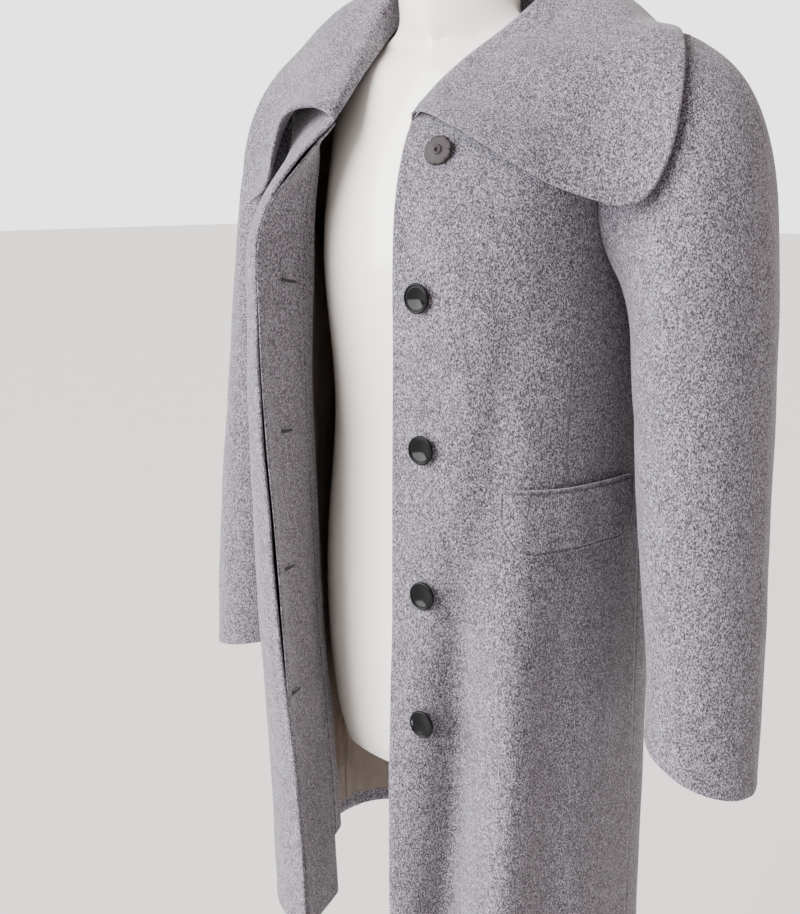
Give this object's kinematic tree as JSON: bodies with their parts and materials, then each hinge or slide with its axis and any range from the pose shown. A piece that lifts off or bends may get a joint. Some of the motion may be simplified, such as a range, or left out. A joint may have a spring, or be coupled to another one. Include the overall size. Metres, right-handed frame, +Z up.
{
  "type": "coat on a dress form",
  "caption": "Knee-length grey melton wool coat with a wide turned-out collar, hidden fly front, black buttons and flap pockets, worn open on a limbless white torso form on a pole stand.",
  "frame": {"origin": "middle of the stand base's flat underside", "axes": "+Z up along the pole; -Y the way the wearer faces; +X the wearer's left"},
  "size_m": [0.622, 0.38, 1.5032],
  "materials": {
    "wool": "brushed grey melton wool, mottled",
    "facing": "grey melton wool",
    "lining": "taupe satin",
    "buttons": "gloss",
    "form": "gloss",
    "stand": "satin"
  },
  "bodies": {
    "root": {"front_left": "wool", "front_right": "wool", "back": "wool", "sleeve_left": "wool", "sleeve_right": "wool", "collar": "wool", "pocket_flap_left": "wool", "pocket_flap_right": "wool", "placket_right": "facing", "facing_right": "facing", "lining_right": "lining", "lining_back": "lining", "button_1": "buttons", "button_2": "buttons", "button_3": "buttons", "button_4": "buttons", "button_5": "buttons", "form_torso": "form", "form_pole": "stand", "form_base": "stand"}
  },
  "joints": []
}
